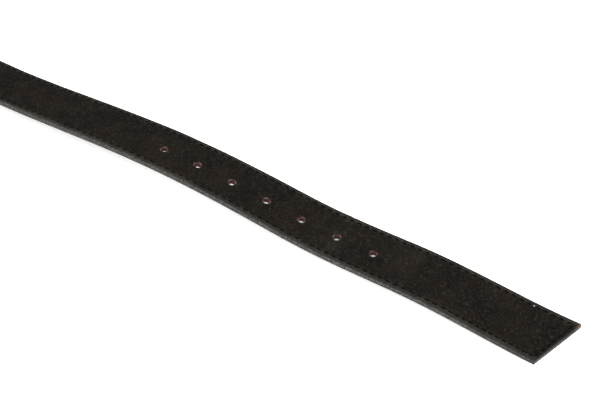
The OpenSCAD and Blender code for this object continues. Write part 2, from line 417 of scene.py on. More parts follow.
def lathe(profile, steps=48):
    """Turns a profile of (radius, height) about Z; a radius of 0 closes that end."""
    points, faces, rings = [], [], []
    for radius, high in profile:
        if radius == 0:
            rings.append([len(points)])
            points.append((0, 0, high))
        else:
            rings.append(list(range(len(points), len(points) + steps)))
            points += [
                (
                    radius * math.cos(2 * math.pi * i / steps), radius * math.sin(2 * math.pi * i / steps),
                    high,
                )
                for i in range(steps)
            ]
    for low, high in zip(rings, rings[1:]):
        for i in range(steps):
            j = (i + 1) % steps
            if len(low) == 1:
                faces.append((low[0], high[j], high[i]))
            elif len(high) == 1:
                faces.append((low[i], low[j], high[0]))
            else:
                faces.append((low[i], low[j], high[j], high[i]))
    return np.array(points) * MM, faces


def rounded_section(width, height, radius, corner_steps=4):
    """A rectangle with rounded corners, centred, as a list of points."""
    points = []
    for quarter, (sx, sy) in enumerate(((1, 1), (-1, 1), (-1, -1), (1, -1))):
        for i in range(corner_steps + 1):
            a = math.pi / 2 * (quarter + i / corner_steps)
            points.append(
                (
                    sx * (width / 2 - radius) + radius * math.cos(a),
                    sy * (height / 2 - radius) + radius * math.sin(a),
                )
            )
    return points


def cast_shape(piece, voxel, rounds):
    """Melts overlapping shells into one soft-edged casting."""
    remesh = piece.modifiers.new("Melt", "REMESH")
    remesh.mode = "VOXEL"
    remesh.voxel_size = voxel
    remesh.use_smooth_shade = True
    soften = piece.modifiers.new("Soften", "SMOOTH")
    soften.factor = 0.5
    soften.iterations = rounds
    material = list(piece.data.materials)
    made = baked(piece)
    made.data.materials.clear()
    for m in material:
        made.data.materials.append(m)
    made.data.shade_smooth()
    return made


def joined(shapes):
    """One list of points and faces from several."""
    points, faces = [], []
    for some_points, some_faces in shapes:
        base = len(points)
        points += [tuple(p) for p in some_points]
        faces += [tuple(base + i for i in f) for f in some_faces]
    return points, faces


# ---------------------------------------------------------------------------
# Materials
# ---------------------------------------------------------------------------


def node(tree, kind, inputs=None, **settings):
    """Adds a node, sets it up and links or fills its inputs."""
    made = tree.nodes.new(kind)
    for key, value in settings.items():
        setattr(made, key, value)
    for key, value in (inputs or {}).items():
        if isinstance(value, bpy.types.NodeSocket):
            tree.links.new(value, made.inputs[key])
        else:
            made.inputs[key].default_value = value
    return made


def start_material(name):
    material = bpy.data.materials.get(name)
    if material:
        return material, None
    material = bpy.data.materials.new(name)
    material.use_nodes = True
    material.node_tree.nodes.clear()
    return material, material.node_tree


def finish_material(tree, shader):
    out = node(tree, "ShaderNodeOutputMaterial")
    tree.links.new(shader.outputs[0], out.inputs["Surface"])


def brushed_suede(colour):
    """Split cowhide, napped with a brush: matt, light-trapping, blotched where the nap lies different ways
    and paler where it is rubbed. The holes' rims are paler still with painted highlight, and one spot in the
    seam is a near-white painted highlight.
    """
    material, tree = start_material("Brushed suede")
    if tree is None:
        return material
    place = node(tree, "ShaderNodeTexCoord").outputs["Object"]
    wear = node(tree, "ShaderNodeAttribute", attribute_name="wear").outputs["Fac"]
    scuff = node(tree, "ShaderNodeAttribute", attribute_name="scuff").outputs["Fac"]
    # Nap lies in patches of 2 to 3 cm, mottled at about 6 mm; its tufts are drawn 1.3 mm wide,
    # coarser than real ones, so that they show
    patches = node(
        tree, "ShaderNodeTexNoise", {"Vector": place, "Scale": 42.0, "Detail": 3.0, "Roughness": 0.6}
    ).outputs["Fac"]
    mottle = node(
        tree, "ShaderNodeTexNoise", {"Vector": place, "Scale": 170.0, "Detail": 5.0, "Roughness": 0.65}
    ).outputs["Fac"]
    tufts = node(
        tree, "ShaderNodeTexNoise", {"Vector": place, "Scale": 760.0, "Detail": 4.0, "Roughness": 0.75}
    ).outputs["Fac"]
    brown = node(
        tree, "ShaderNodeMapRange", {"Value": patches, "From Min": 0.42, "From Max": 0.62}
    ).outputs["Result"]
    base = node(
        tree, "ShaderNodeMix", {"Factor": brown, "A": rgba(colour), "B": rgba(srgb("#171310"))},
        data_type="RGBA",
    )
    green = node(
        tree, "ShaderNodeMapRange", {"Value": mottle, "From Min": 0.46, "From Max": 0.66}
    ).outputs["Result"]
    blotched = node(
        tree, "ShaderNodeMix", {"Factor": green, "A": base.outputs["Result"], "B": rgba(srgb("#171613"))},
        data_type="RGBA",
    )
    speck = node(
        tree, "ShaderNodeMapRange", {"Value": tufts, "From Min": 0.54, "From Max": 0.72, "To Max": 0.6}
    ).outputs["Result"]
    specked = node(
        tree, "ShaderNodeMix",
        {"Factor": speck, "A": blotched.outputs["Result"], "B": rgba(srgb("#3D3831"))}, data_type="RGBA",
    )
    pit = node(
        tree, "ShaderNodeMapRange", {"Value": tufts, "From Min": 0.46, "From Max": 0.32, "To Max": 0.55}
    ).outputs["Result"]
    pitted = node(
        tree, "ShaderNodeMix", {"Factor": pit, "A": specked.outputs["Result"], "B": rgba(srgb("#0A0908"))},
        data_type="RGBA",
    )
    # The wear attribute's paleness is rubbed nap, and on the holes' rims also painted highlight
    uneven = node(
        tree, "ShaderNodeMapRange", {"Value": mottle, "From Min": 0.3, "From Max": 0.6, "To Min": 0.45}
    )
    rubbed = node(
        tree, "ShaderNodeMath", {0: wear, 1: uneven.outputs["Result"]}, operation="MULTIPLY", use_clamp=True
    )
    worn = node(
        tree, "ShaderNodeMix",
        {"Factor": rubbed.outputs[0], "A": pitted.outputs["Result"], "B": rgba(srgb("#5E5953"))},
        data_type="RGBA",
    )
    # Wear values from 1.3 to 1.8 carry the seam spot's painted highlight, mixed toward near white
    seam_glint_mask = node(
        tree, "ShaderNodeMapRange", {"Value": wear, "From Min": 1.3, "From Max": 1.8}
    ).outputs["Result"]
    seam_glinted = node(
        tree, "ShaderNodeMix", {"Factor": seam_glint_mask, "A": worn.outputs["Result"], "B": rgba(srgb("#E6D9C6"))},
        data_type="RGBA",
    )
    scuffed = node(
        tree, "ShaderNodeMix", {"Factor": scuff, "A": seam_glinted.outputs["Result"], "B": rgba(srgb("#5F4334"))},
        data_type="RGBA",
    )
    nap = node(
        tree, "ShaderNodeTexNoise", {"Vector": place, "Scale": 2600.0, "Detail": 3.0, "Roughness": 0.7}
    ).outputs["Fac"]
    bump = node(tree, "ShaderNodeBump", {"Height": tufts, "Strength": 0.6, "Distance": 0.00035})
    bump_nap = node(
        tree, "ShaderNodeBump",
        {"Height": nap, "Normal": bump.outputs["Normal"], "Strength": 0.8, "Distance": 0.0002},
    )
    bump_soft = node(
        tree, "ShaderNodeBump",
        {"Height": mottle, "Normal": bump_nap.outputs["Normal"], "Strength": 0.5, "Distance": 0.0006},
    )
    shader = node(
        tree,
        "ShaderNodeBsdfPrincipled",
        {
            "Base Color": scuffed.outputs["Result"],
            "Roughness": 0.93,
            "Specular IOR Level": 0.01,
            "Sheen Weight": 0.006,
            "Sheen Roughness": 0.45,
            "Sheen Tint": rgba(srgb("#8C857A")),
            "Normal": bump_soft.outputs["Normal"],
        },
    )
    finish_material(tree, shader)
    return material


def painted_edge(colour):
    """Acrylic edge paint over skived leather: a satin film with small lumps where it soaked in unevenly,
    the lumps' crowns painted lighter as highlights.
    """
    material, tree = start_material("Painted edge")
    if tree is None:
        return material
    place = node(tree, "ShaderNodeTexCoord").outputs["Object"]
    lumps = node(
        tree, "ShaderNodeTexNoise", {"Vector": place, "Scale": 620.0, "Detail": 4.0, "Roughness": 0.7}
    ).outputs["Fac"]
    grain = node(
        tree, "ShaderNodeTexNoise", {"Vector": place, "Scale": 1700.0, "Detail": 3.0, "Roughness": 0.6}
    ).outputs["Fac"]
    # Painted highlight: lump crowns mixed toward a lighter grey, standing in for glints on the bumpy edge
    lump_highlight = node(
        tree, "ShaderNodeMapRange", {"Value": lumps, "From Min": 0.46, "From Max": 0.6}
    ).outputs["Result"]
    film = node(
        tree, "ShaderNodeMix", {"Factor": lump_highlight, "A": rgba(colour), "B": rgba(srgb("#474441"))},
        data_type="RGBA",
    )
    thick = node(tree, "ShaderNodeAttribute", attribute_name="thick_paint").outputs["Fac"]
    film = node(
        tree, "ShaderNodeMix", {"Factor": thick, "A": film.outputs["Result"], "B": rgba(srgb("#0F0E0E"))},
        data_type="RGBA",
    )
    scuff = node(tree, "ShaderNodeAttribute", attribute_name="scuff").outputs["Fac"]
    tone = node(
        tree, "ShaderNodeMix", {"Factor": scuff, "A": film.outputs["Result"], "B": rgba(srgb("#6E4A36"))},
        data_type="RGBA",
    )
    gloss = node(
        tree, "ShaderNodeMapRange",
        {"Value": grain, "From Min": 0.3, "From Max": 0.7, "To Min": 0.5, "To Max": 0.75},
    ).outputs["Result"]
    bump = node(tree, "ShaderNodeBump", {"Height": lumps, "Strength": 0.7, "Distance": 0.0005})
    bump_fine = node(
        tree, "ShaderNodeBump",
        {"Height": grain, "Normal": bump.outputs["Normal"], "Strength": 0.5, "Distance": 0.0002},
    )
    shader = node(
        tree,
        "ShaderNodeBsdfPrincipled",
        {
            "Base Color": tone.outputs["Result"], "Roughness": gloss, "Specular IOR Level": 0.2,
            "Normal": bump_fine.outputs["Normal"],
        },
    )
    finish_material(tree, shader)
    return material


def lining_leather(colour):
    """Full-grain lining leather, dyed and plated smooth: fine pebbled grain with a low sheen."""
    material, tree = start_material("Lining leather")
    if tree is None:
        return material
    place = node(tree, "ShaderNodeTexCoord").outputs["Object"]
    # Grain cells about 0.9 mm across
    grain = node(
        tree, "ShaderNodeTexVoronoi", {"Vector": place, "Scale": 1100.0, "Randomness": 0.9},
        feature="SMOOTH_F1",
    ).outputs["Distance"]
    cloud = node(
        tree, "ShaderNodeTexNoise", {"Vector": place, "Scale": 60.0, "Detail": 4.0, "Roughness": 0.6}
    ).outputs["Fac"]
    pores = node(
        tree, "ShaderNodeTexNoise", {"Vector": place, "Scale": 700.0, "Detail": 4.0, "Roughness": 0.6}
    ).outputs["Fac"]
    wear = node(tree, "ShaderNodeAttribute", attribute_name="wear").outputs["Fac"]
    shade = node(
        tree, "ShaderNodeMapRange", {"Value": cloud, "From Min": 0.35, "From Max": 0.65}
    ).outputs["Result"]
    tone = node(
        tree, "ShaderNodeMix", {"Factor": shade, "A": rgba(colour), "B": rgba(srgb("#2C2521"))},
        data_type="RGBA",
    )
    worn = node(
        tree, "ShaderNodeMix", {"Factor": wear, "A": tone.outputs["Result"], "B": rgba(srgb("#4A413B"))},
        data_type="RGBA",
    )
    gloss = node(
        tree, "ShaderNodeMapRange",
        {"Value": pores, "From Min": 0.3, "From Max": 0.7, "To Min": 0.42, "To Max": 0.62},
    ).outputs["Result"]
    bump = node(tree, "ShaderNodeBump", {"Height": grain, "Strength": 0.45, "Distance": 0.00025})
    bump_fine = node(
        tree, "ShaderNodeBump",
        {"Height": pores, "Normal": bump.outputs["Normal"], "Strength": 0.35, "Distance": 0.0002},
    )
    shader = node(
        tree,
        "ShaderNodeBsdfPrincipled",
        {
            "Base Color": worn.outputs["Result"], "Roughness": gloss, "Specular IOR Level": 0.45,
            "Normal": bump_fine.outputs["Normal"],
        },
    )
    finish_material(tree, shader)
    return material


def raw_leather(colour):
    """Bonded leather filler, left raw: fibrous and matt, reddish brown where a punch cuts through it."""
    material, tree = start_material("Raw leather filler")
    if tree is None:
        return material
    place = node(tree, "ShaderNodeTexCoord").outputs["Object"]
    fibres = node(
        tree, "ShaderNodeTexNoise", {"Vector": place, "Scale": 1500.0, "Detail": 5.0, "Roughness": 0.7}
    ).outputs["Fac"]
    shade = node(
        tree, "ShaderNodeMapRange", {"Value": fibres, "From Min": 0.35, "From Max": 0.65}
    ).outputs["Result"]
    tone = node(
        tree, "ShaderNodeMix", {"Factor": shade, "A": rgba(colour), "B": rgba(srgb("#2C1916"))},
        data_type="RGBA",
    )
    bump = node(tree, "ShaderNodeBump", {"Height": fibres, "Strength": 0.7, "Distance": 0.0003})
    shader = node(
        tree,
        "ShaderNodeBsdfPrincipled",
        {
            "Base Color": tone.outputs["Result"], "Roughness": 0.9, "Specular IOR Level": 0.25,
            "Normal": bump.outputs["Normal"],
        },
    )
    finish_material(tree, shader)
    return material


def waxed_thread(colour):
    """Waxed polyester thread, three strands twisted together: near black, its shine worn matt."""
    material, tree = start_material("Waxed thread")
    if tree is None:
        return material
    place = node(tree, "ShaderNodeTexCoord").outputs["Object"]
    strands = node(
        tree, "ShaderNodeTexNoise", {"Vector": place, "Scale": 2600.0, "Detail": 2.0}
    ).outputs["Fac"]
    shade = node(
        tree, "ShaderNodeMapRange", {"Value": strands, "From Min": 0.35, "From Max": 0.7}
    ).outputs["Result"]
    tone = node(
        tree, "ShaderNodeMix", {"Factor": shade, "A": rgba(colour), "B": rgba(srgb("#0A0909"))},
        data_type="RGBA",
    )
    bump = node(tree, "ShaderNodeBump", {"Height": strands, "Strength": 0.6, "Distance": 0.0002})
    shader = node(
        tree,
        "ShaderNodeBsdfPrincipled",
        {
            "Base Color": tone.outputs["Result"], "Roughness": 0.85, "Specular IOR Level": 0.04,
            "Normal": bump.outputs["Normal"],
        },
    )
    finish_material(tree, shader)
    return material


def satin_nickel(colour):
    """Zinc casting plated with nickel and tumbled: satin, slightly warm, with faint ripples and fine rub
    marks.
    """
    material, tree = start_material("Satin nickel")
    if tree is None:
        return material
    place = node(tree, "ShaderNodeTexCoord").outputs["Object"]
    ripple = node(tree, "ShaderNodeTexNoise", {"Vector": place, "Scale": 220.0, "Detail": 2.0}).outputs["Fac"]
    long_way = node(
        tree, "ShaderNodeMapping", {"Vector": place, "Scale": (900.0, 900.0, 6500.0)}
    ).outputs["Vector"]
    rubs = node(
        tree, "ShaderNodeTexNoise", {"Vector": long_way, "Scale": 1.0, "Detail": 3.0, "Roughness": 0.6}
    ).outputs["Fac"]
    tone = node(
        tree, "ShaderNodeMix",
        {
            "Factor": node(
                tree, "ShaderNodeMapRange", {"Value": ripple, "From Min": 0.35, "From Max": 0.65}
            ).outputs["Result"],
            "A": rgba(colour), "B": rgba(srgb("#9A9388")),
        },
        data_type="RGBA",
    )
    gloss = node(
        tree, "ShaderNodeMapRange",
        {"Value": rubs, "From Min": 0.3, "From Max": 0.7, "To Min": 0.22, "To Max": 0.38},
    ).outputs["Result"]
    bump = node(tree, "ShaderNodeBump", {"Height": ripple, "Strength": 0.1, "Distance": 0.0003})
    bump_fine = node(
        tree, "ShaderNodeBump",
        {"Height": rubs, "Normal": bump.outputs["Normal"], "Strength": 0.12, "Distance": 0.0001},
    )
    shader = node(
        tree,
        "ShaderNodeBsdfPrincipled",
        {
            "Base Color": tone.outputs["Result"], "Metallic": 1.0, "Roughness": gloss,
            "Normal": bump_fine.outputs["Normal"],
        },
    )
    finish_material(tree, shader)
    return material


def drawn_steel(colour):
    """Drawn steel wire and bar: grey, with fine lines round it from turning."""
    material, tree = start_material("Drawn steel")
    if tree is None:
        return material
    place = node(tree, "ShaderNodeTexCoord").outputs["Object"]
    lines = node(
        tree, "ShaderNodeMapping", {"Vector": place, "Scale": (300.0, 300.0, 5000.0)}
    ).outputs["Vector"]
    turned = node(tree, "ShaderNodeTexNoise", {"Vector": lines, "Scale": 1.0, "Detail": 2.0}).outputs["Fac"]
    gloss = node(
        tree, "ShaderNodeMapRange",
        {"Value": turned, "From Min": 0.3, "From Max": 0.7, "To Min": 0.25, "To Max": 0.45},
    ).outputs["Result"]
    tone = node(
        tree, "ShaderNodeMix", {"Factor": turned, "A": rgba(colour), "B": rgba(srgb("#7F7F7E"))},
        data_type="RGBA",
    )
    bump = node(tree, "ShaderNodeBump", {"Height": turned, "Strength": 0.2, "Distance": 0.0001})
    shader = node(
        tree,
        "ShaderNodeBsdfPrincipled",
        {
            "Base Color": tone.outputs["Result"], "Metallic": 1.0, "Roughness": gloss,
            "Normal": bump.outputs["Normal"],
        },
    )
    finish_material(tree, shader)
    return material


def light_table(colour):
    """Opal acrylic light table: matt white and lit from inside, so that shadows all but vanish."""
    material, tree = start_material("Opal acrylic")
    if tree is None:
        return material
    place = node(tree, "ShaderNodeTexCoord").outputs["Object"]
    cloud = node(tree, "ShaderNodeTexNoise", {"Vector": place, "Scale": 3.0, "Detail": 2.0}).outputs["Fac"]
    tone = node(
        tree, "ShaderNodeMix", {"Factor": cloud, "A": rgba(colour), "B": rgba(srgb("#F8F8F8"))},
        data_type="RGBA",
    )
    shader = node(
        tree,
        "ShaderNodeBsdfPrincipled",
        {
            "Base Color": tone.outputs["Result"], "Roughness": 0.7, "Specular IOR Level": 0.2,
            "Emission Color": rgba(colour), "Emission Strength": 0.5,
        },
    )
    finish_material(tree, shader)
    return material


# ---------------------------------------------------------------------------
# Strap
# ---------------------------------------------------------------------------

KEEPER_PLACES = {"fixed": -43.0, "sliding": -108.0}  # along the arm, from the heel bar
POST_PLACES = {"bar_side": -21.0, "strap_side": -58.0}  # along the arm, from the heel bar
CREASES = ((152.0, 1.0), (104.0, 0.45))  # from the tip, and how deep
SEAM_GLINT = (29.0, 16.0)  # painted highlight: a near-white spot in the far seam, where light shows through a stitch hole
RIM = 0.6  # width of the rim round every cut edge, where it is rounded over
HOLE_PATCH = 4  # half size of the square of grid that a hole takes


def strap_lines(path, strap, stitch):
    """Grid lines along and across the strap, close together at the seam, the holes and the creases."""
    first, gap = strap.first_hole / MM, strap.hole_spacing / MM
    last = first + gap * (strap.hole_count - 1)
    inset = stitch.inset / MM
    seam = [-1.6, -1.1, -0.75, -0.5, -0.25, 0, 0.25, 0.5, 0.75, 1.1]
    tip = [RIM, 1.2] + [inset + d for d in seam[1:]] + [inset + 1.6, 5.5]
    start = math.ceil(tip[-1] + 0.4)
    turned = path.length + math.pi * path.fold + 16
    along = tip + list(np.arange(start, last + 10, 1.0)) + list(np.arange(last + 10, path.length - 16, 2.5))
    along += list(
        np.arange(path.length - 16, turned, 1.0)
    ) + list(np.arange(turned, path.end - 1.2, 2.0)) + [path.end - RIM]
    for middle, _ in CREASES:
        along += [middle - 0.5, middle + 0.5]
    edge = path.half - inset
    middle_w = -strap.hole_offset / MM
    inner = [middle_w + i for i in range(-40, 41) if abs(middle_w + i) < edge - 1.3]
    across = [-edge - d for d in seam if d < 1.2] + [edge + d for d in seam if d < 1.2]
    across += [RIM - path.half, path.half - RIM, -edge - 1.6, edge + 1.6]
    across += [edge - 1.0, -edge + 1.0]
    return np.unique(np.round(along, 4)), np.unique(np.round(inner + across, 4))


def strap_plan(path, strap, s_lines, w_lines, cut_slot):
    """The strap cut flat: a grid with its holes punched and the prong's slot cut. Returns s, w and faces,
    all counter-clockwise.
    """
    count_s, count_w = len(s_lines), len(w_lines)
    keep = np.ones((count_s - 1, count_w - 1), bool)
    boxes = []
    middle_w = -strap.hole_offset / MM
    for i in range(strap.hole_count):
        at = strap.first_hole / MM + i * strap.hole_spacing / MM
        ring_s = [np.argmin(abs(s_lines - (at + d))) for d in (-HOLE_PATCH, HOLE_PATCH)]
        ring_w = [np.argmin(abs(w_lines - (middle_w + d))) for d in (-HOLE_PATCH, HOLE_PATCH)]
        boxes.append((at, *ring_s, *ring_w))
        keep[ring_s[0] : ring_s[1], ring_w[0] : ring_w[1]] = False
    if cut_slot:
        s0, s1 = path.length - 12.1, path.length + math.pi * path.fold + 12.1
        keep_s = (s_lines[:-1] > s0 - 0.5) & (s_lines[1:] < s1 + 0.5)
        keep_w = (w_lines[:-1] > -3.65) & (w_lines[1:] < 3.45)
        keep[np.ix_(keep_s, keep_w)] = False
    ids = -np.ones((count_s, count_w), int)
    s, w, faces = [], [], []

    def vertex(i, j):
        if ids[i, j] < 0:
            ids[i, j] = len(s)
            s.append(s_lines[i])
            w.append(w_lines[j])
        return ids[i, j]

    for i in range(count_s - 1):
        for j in range(count_w - 1):
            if keep[i, j]:
                faces.append((vertex(i, j), vertex(i + 1, j), vertex(i + 1, j + 1), vertex(i, j + 1)))
    hole = strap.hole_diameter / MM / 2
    for at, i0, i1, j0, j1 in boxes:
        ring = [vertex(i, j0) for i in range(i0, i1)] + [vertex(i1, j) for j in range(j0, j1)]
        ring += [vertex(i, j1) for i in range(i1, i0, -1)] + [vertex(i0, j) for j in range(j1, j0, -1)]
        n = len(ring)
        outer = ring
        for radius in (hole + 1.35, hole + 1.0, hole + 0.75, hole + RIM):
            inner = list(range(len(s), len(s) + n))
            for m in range(n):
                a = -0.75 * math.pi + 2 * math.pi * m / n
                s.append(at + radius * math.cos(a))
                w.append(middle_w + radius * math.sin(a))
            faces += [(outer[m], outer[(m + 1) % n], inner[(m + 1) % n], inner[m]) for m in range(n)]
            outer = inner
    return np.array(s), np.array(w), faces


def relief(path, strap, stitch, s, w):
    """How far the face stands above or below its nominal height, in millimetres: seam grooves, creases, the
    dip round each hole and the hide's own unevenness.
    """
    edge = path.half - stitch.inset / MM
    inset = stitch.inset / MM
    pitch = stitch.pitch / MM
    high = 0.0 * s
    side = ridge((abs(w) - edge) / 0.55) * smooth((s - inset) / 0.5 + 1)
    tip = ridge((s - inset) / 0.55) * smooth((edge - abs(w)) / 0.5 + 1)
    between = 1 - 0.85 * np.cos(math.pi * (s - inset) / pitch) ** 8
    high -= 0.42 * np.maximum(side * between, tip * 0.8)
    high += 0.07 * ridge((abs(w) - edge - 1.4) / 0.8) + 0.06 * ridge((abs(w) - edge + 1.8) / 1.2)
    for middle, depth in CREASES:
        bend = 0.8 * np.sin(w * 0.21 + middle) + 0.4 * np.sin(w * 0.63)
        high -= depth * 0.3 * ridge((s - middle - bend) / 0.8)
        high += depth * 0.18 * (
            ridge((s - middle - bend - 2.0) / 1.2) + ridge((s - middle - bend + 2.0) / 1.2)
        )
    for i in range(strap.hole_count):
        at = strap.first_hole / MM + i * strap.hole_spacing / MM
        away = np.hypot(s - at, w + strap.hole_offset / MM)
        high -= 0.3 * (1 - smooth((away - strap.hole_diameter / MM / 2) / 2.0))
        high += 0.08 * ridge((away - 4.6) / 1.2)
    slow = np.array([noise.noise(Vector((a / 21, b / 12, 3.0))) for a, b in zip(s, w)])
    quick = np.array([noise.noise(Vector((a / 4.5, b / 4.0, 9.0))) for a, b in zip(s, w)])
    return high + 0.14 * slow + 0.05 * quick


def face_wear_and_rim_highlight(path, strap, s, w):
    """Where the nap is rubbed paler: the margins, the holes' rims and the creases; the holes' rims are also
    painted paler as highlight, where the rounded rim catches the light.
    """
    worn = 0.09 * smooth((abs(w) - path.half + 3.1) / 0.5) + 0.03 * smooth((abs(w) - path.half + 5.0) / 1.5)
    worn = np.maximum(worn, 0.1 * (1 - smooth((s - 2.4) / 0.5)))
    for middle, depth in CREASES:
        bend = 0.8 * np.sin(w * 0.21 + middle) + 0.4 * np.sin(w * 0.63)
        patchy = 0.6 + 0.4 * np.sin(w * 0.5 + middle)
        worn = worn + 0.03 * depth * ridge((s - middle) / 8)
        worn = np.maximum(
            worn,
            0.1 * depth * patchy * np.maximum(
                ridge((s - middle - bend - 1.5) / 0.9), ridge((s - middle - bend + 1.5) / 0.9)
            ),
        )
    # Hole rims: paled by the prong's wear and by painted highlight where the rounded rim catches the light
    for i in range(strap.hole_count):
        at = strap.first_hole / MM + i * strap.hole_spacing / MM
        away = np.hypot(s - at, w + strap.hole_offset / MM)
        rim_wear_and_highlight = 0.55 + 0.45 * np.sin(3 * np.arctan2(w + strap.hole_offset / MM, s - at) + 1.7 * i)
        worn = np.maximum(
            worn, 0.9 * rim_wear_and_highlight * (1 - smooth((away - strap.hole_diameter / MM / 2 - 0.35) / 0.6))
        )
    return worn


def tip_paint(flat):
    """Edge paint pools at the tip, so it is darker there."""
    s = flat[:, 0]
    away = smooth((s - 3) / 4)
    return 0.85 * (1 - away) + 0.45 * away * (1 - smooth((s - 20) / 60))


def layer_shell(
    path, s, w, faces, top, bottom, round_top, round_bottom, wall_steps, wobble, painted_rim=False
):
    """Gives the flat plan its thickness, with rounded edges, and lays it along the path.

    Returns points, faces, zones (0 top, 1 bottom, 2 outer wall, 3 hole wall), and s, w and edge nearness
    for each point.
    """
    plan = np.stack([path.slanted(s, w), w], -1)
    directed = {}
    for face in faces:
        for a, b in zip(face, face[1:] + face[:1]):
            directed[(a, b)] = True
    after = {a: b for a, b in directed if (b, a) not in directed}
    before = {b: a for a, b in after.items()}
    rim = sorted(after)
    slot = {v: i for i, v in enumerate(rim)}
    here = plan[rim]
    ahead = plan[[after[v] for v in rim]] - here
    came = here - plan[[before[v] for v in rim]]
    turn = [
        np.stack([d[:, 1], -d[:, 0]], -1) / np.linalg.norm(d, axis=1, keepdims=True) for d in (ahead, came)
    ]
    normal = turn[0] + turn[1]
    normal /= np.maximum(np.linalg.norm(normal, axis=1, keepdims=True), 1e-9)
    normal /= np.maximum((normal * turn[0]).sum(1, keepdims=True), 0.7)
    outer = (abs(here[:, 1]) > path.half - RIM - 0.3) | (here[:, 0] < 20) | (here[:, 0] > path.length - 30)

    rings = []  # (offset, k, nearness to the edge)
    for i in (0, 1, 2, 3, 4):
        a = math.pi / 8 * i
        rings.append((RIM - round_top * (1 - math.sin(a)), top[rim] - round_top * (1 - math.cos(a)), 1.0))
    low, high = bottom[rim] + round_bottom, top[rim] - round_top
    lumps = np.array([noise.noise(Vector((a / 3.1, b / 7, 17.0))) for a, b in here]) * wobble * outer
    for i in range(1, wall_steps):
        u = i / wall_steps
        rings.append((RIM + lumps * math.sin(math.pi * u), high + (low - high) * u, 0.4))
    for i in (4, 3, 2, 1, 0):
        a = math.pi / 8 * i
        rings.append(
            (RIM - round_bottom * (1 - math.sin(a)), bottom[rim] + round_bottom * (1 - math.cos(a)), 0.6)
        )

    count, edge = len(s), len(rim)
    flat = [plan] + [here + normal * np.reshape(offset, (-1, 1)) for offset, _, _ in rings] + [plan]
    heights = [top] + [k for _, k, _ in rings] + [bottom]
    near = [np.zeros(count)] + [np.full(edge, n) for _, _, n in rings] + [np.zeros(count)]
    flat, heights, near = np.concatenate(flat), np.concatenate(heights), np.concatenate(near)
    near[rim] = 0.8
    points = path.place(flat[:, 0], flat[:, 1], heights)

    shell, zones = [f[::-1] for f in faces], [0] * len(faces)
    base = count + len(rings) * edge
    shell += [tuple(v + base for v in f) for f in faces]
    zones += [1] * len(faces)
    for v in rim:
        a, b = slot[v], slot[after[v]]
        stack_a = [v] + [count + i * edge + a for i in range(len(rings))] + [base + v]
        stack_b = [after[v]] + [count + i * edge + b for i in range(len(rings))] + [base + after[v]]
        for i in range(len(rings) + 1):
            shell.append((stack_a[i], stack_b[i], stack_b[i + 1], stack_a[i + 1]))
            wall = 2 if outer[a] else 3
            on_face, on_back = i < 3 and not painted_rim, i > len(rings) - 3 and not painted_rim
            zones.append(0 if on_face else (1 if on_back else wall))
    return points, shell, zones, flat, near


class BELT_OT_strap(bpy.types.Operator):
    """Cut, punch and lay the suede face, its filler and its lining"""

    bl_idname = "belt.strap"
    bl_label = "Strap"

    def execute(self, context):
        strap, stitch = context.scene.belt_strap, context.scene.belt_stitch
        path = belt_path(context)
        s_lines, w_lines = strap_lines(path, strap, stitch)
        suede, edge = brushed_suede(strap.suede), painted_edge(strap.edge)
        back, raw = lining_leather(strap.back), raw_leather(strap.filler)
        s, w, faces = strap_plan(path, strap, s_lines, w_lines, True)
        filler_top = path.lining + path.core_at(s)

        top = filler_top + path.face + relief(path, strap, stitch, s, w)
        points, shell, zones, flat, near = layer_shell(
            path, s, w, faces, top, filler_top, 0.55, 0.02, 3, 0.12
        )
        worn = np.maximum(face_wear_and_rim_highlight(path, strap, flat[:, 0], flat[:, 1]), 0.16 * near)
        corner = np.hypot(flat[:, 0], 0.45 * (flat[:, 1] - path.half))
        scuff = 0.8 * (1 - smooth(corner / 4.2)) * smooth(near * 2 + 0.05)
        # Painted highlight: the seam spot gets a wear value of 2.0, which the suede mixes to near white
        seam_glint_spot = np.hypot((flat[:, 0] - SEAM_GLINT[0]) / 0.7, (flat[:, 1] - SEAM_GLINT[1]) / 0.4) < 1.0
        worn[seam_glint_spot] = 2.0
        face = mesh_object(
            "strap_suede", points, shell, [suede, suede, edge, raw], zones,
            {"wear": worn, "scuff": scuff, "thick_paint": tip_paint(flat)}, flat * MM,
        )
        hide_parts("strap_face")
        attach(face, "strap")

        under = 0.3 * ridge(
            (abs(w) - path.half + stitch.inset / MM) / 0.5
        ) * (s > stitch.inset / MM) * (s < path.length - path.turn_back)
        points, shell, zones, flat, near = layer_shell(
            path, s, w, faces, np.full(len(s), path.lining), under, 0.02, 0.5, 3, 0.12
        )
        worn = 0.35 * near
        lining = mesh_object(
            "strap_lining_leather", points, shell, [back, back, edge, raw], zones,
            {"wear": worn, "thick_paint": tip_paint(flat)}, flat * MM,
        )
        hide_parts("strap_lining")
        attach(lining, "strap")

        core_lines = s_lines[s_lines < path.length - path.skive[1] - 4]
        s, w, faces = strap_plan(path, strap, core_lines, w_lines, False)
        filler_top = path.lining + path.core_at(s)
        points, shell, zones, flat, near = layer_shell(
            path, s, w, faces, filler_top - 0.005, np.full(len(s), path.lining + 0.005), 0.05, 0.05, 2,
            0.05, True,
        )
        core = mesh_object(
            "strap_filler", points, shell, [raw, raw, edge, raw], zones,
            {"wear": near, "thick_paint": tip_paint(flat)}, flat * MM,
        )
        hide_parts("strap_core")
        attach(core, "strap")
        return {"FINISHED"}


# ---------------------------------------------------------------------------
# Stitching
# ---------------------------------------------------------------------------


